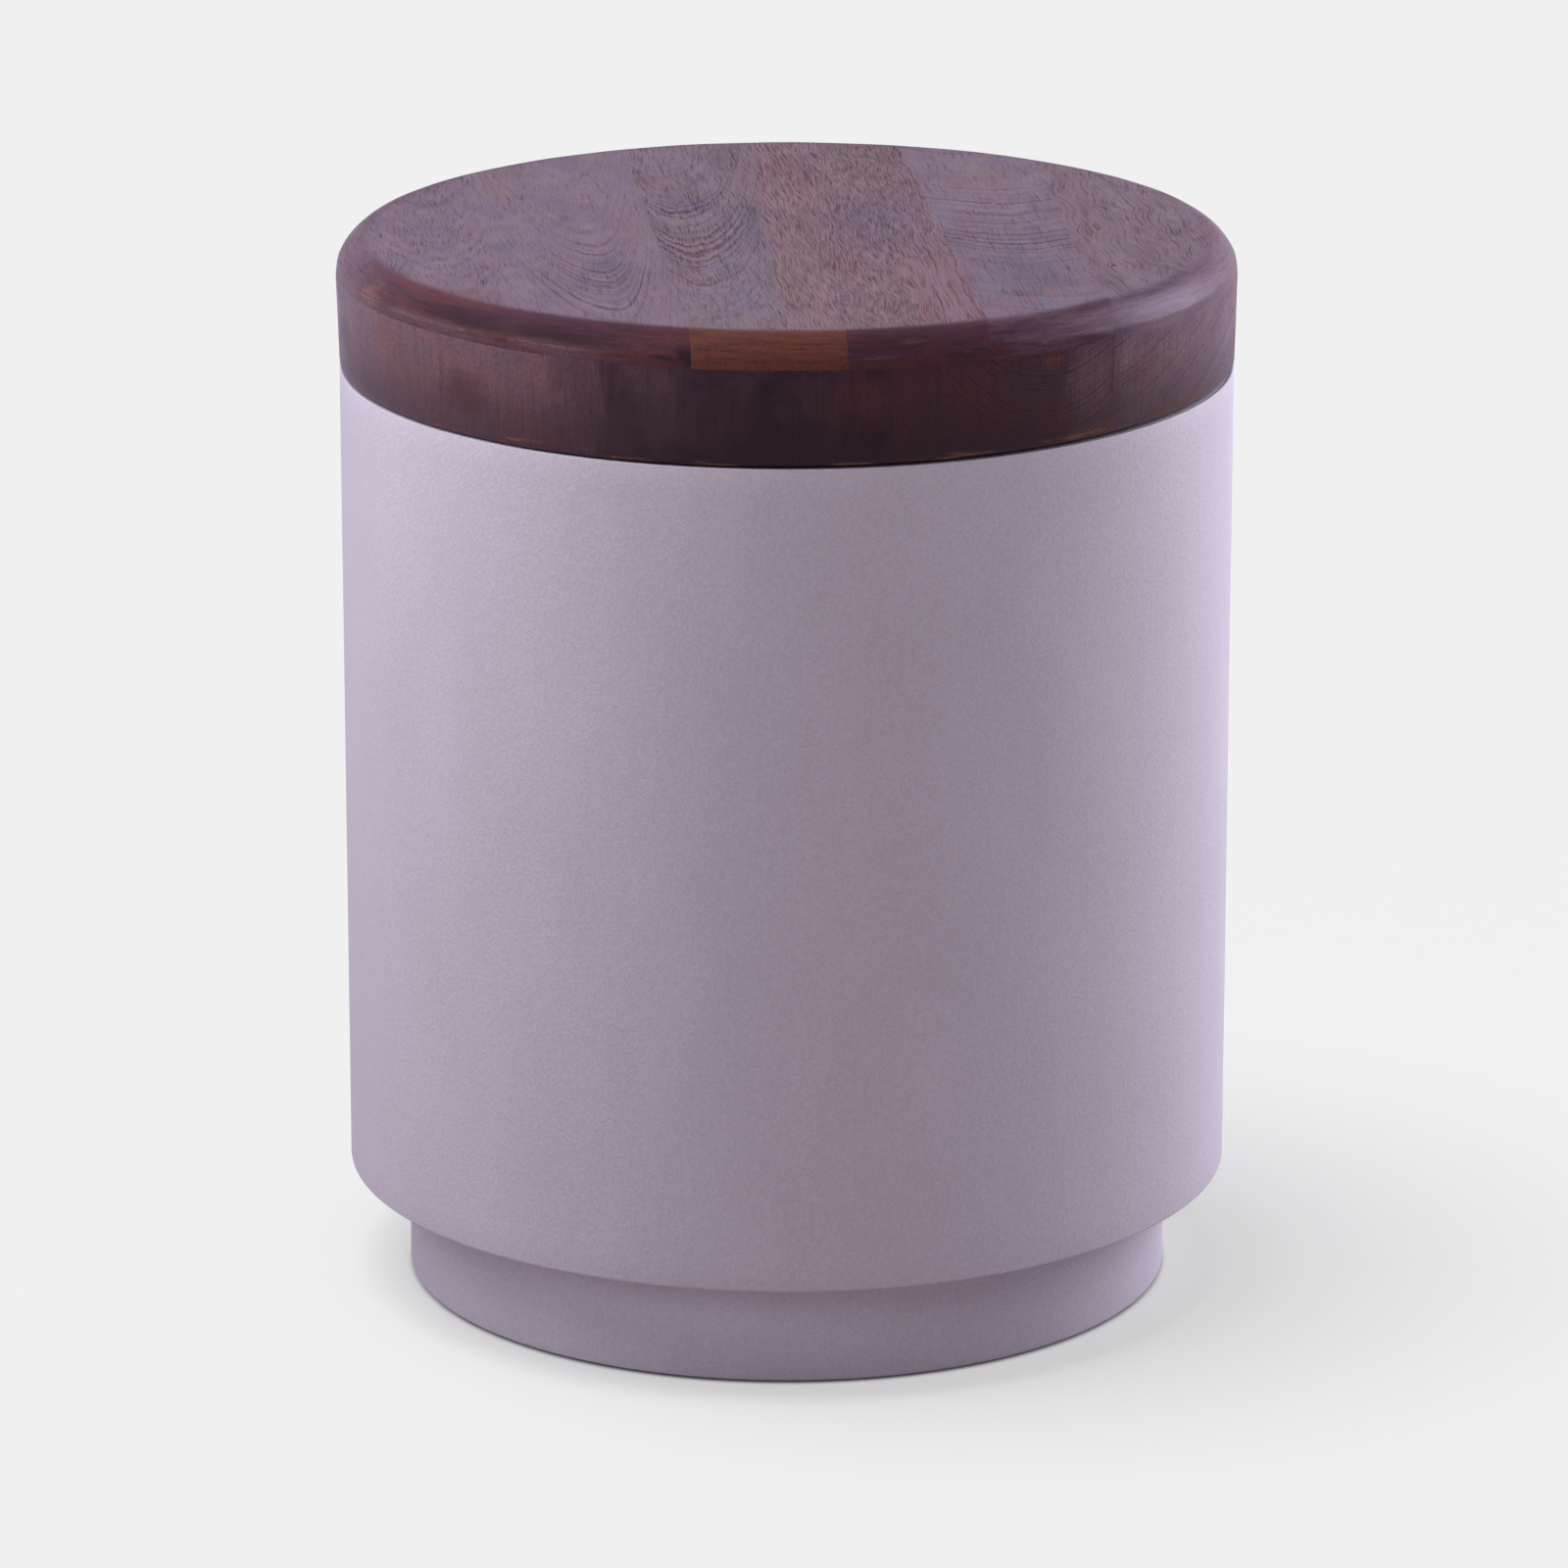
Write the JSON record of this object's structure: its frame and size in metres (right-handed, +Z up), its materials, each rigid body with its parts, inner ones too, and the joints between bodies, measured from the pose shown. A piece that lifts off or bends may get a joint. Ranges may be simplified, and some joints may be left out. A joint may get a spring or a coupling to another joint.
{
  "type": "drum side table",
  "caption": "Round drum side table: a thick glued-up wooden lift-off lid on a hollow painted sheet-metal drum, standing on a recessed plinth.",
  "frame": {"origin": "on the floor, under the drum's axis", "axes": "+Z up along the drum's axis, -Y the front, +X to the right as seen from the front"},
  "size_m": [0.381, 0.381, 0.457],
  "materials": {
    "stave_dark": "oiled, satin",
    "stave_figured": "oiled, satin, strongly figured",
    "stave_rosy": "oiled, satin",
    "stave_grey": "oiled, satin",
    "stave_lower": "oiled, satin, dark red-brown",
    "batten_wood": "plain, unstained",
    "drum_paint": "satin-matte powder coat, greyed mauve",
    "plated_steel": "zinc plated",
    "felt": "felt",
    "glide_plastic": "smooth black"
  },
  "bodies": {
    "base": {"drum_shell": "drum_paint", "rim_hoop": "drum_paint", "drum_floor": "drum_paint", "plinth_band": "drum_paint", "plinth_top_ring": "drum_paint", "plinth_foot_ring": "drum_paint", "plinth_bolts": "plated_steel", "plinth_washers": "plated_steel", "plinth_nuts": "plated_steel", "floor_glides": "glide_plastic"},
    "lid": {"upper_stave_1": "stave_dark", "upper_stave_2": "stave_figured", "upper_stave_3": "stave_figured", "upper_stave_4": "stave_rosy", "upper_inset_block": "stave_rosy", "upper_stave_5": "stave_grey", "upper_stave_6": "stave_dark", "lower_stave_1": "stave_lower", "lower_stave_2": "stave_lower", "lower_stave_3": "stave_lower", "lower_stave_4": "stave_lower", "lower_stave_5": "stave_lower", "batten_front": "batten_wood", "batten_rear": "batten_wood", "batten_screws": "plated_steel", "rim_pads": "felt"}
  },
  "joints": [
    {"name": "lid_lift", "type": "slide", "parent": "base", "child": "lid", "axis": [0, 0, 1], "range_m": [0, 0.3]}
  ]
}
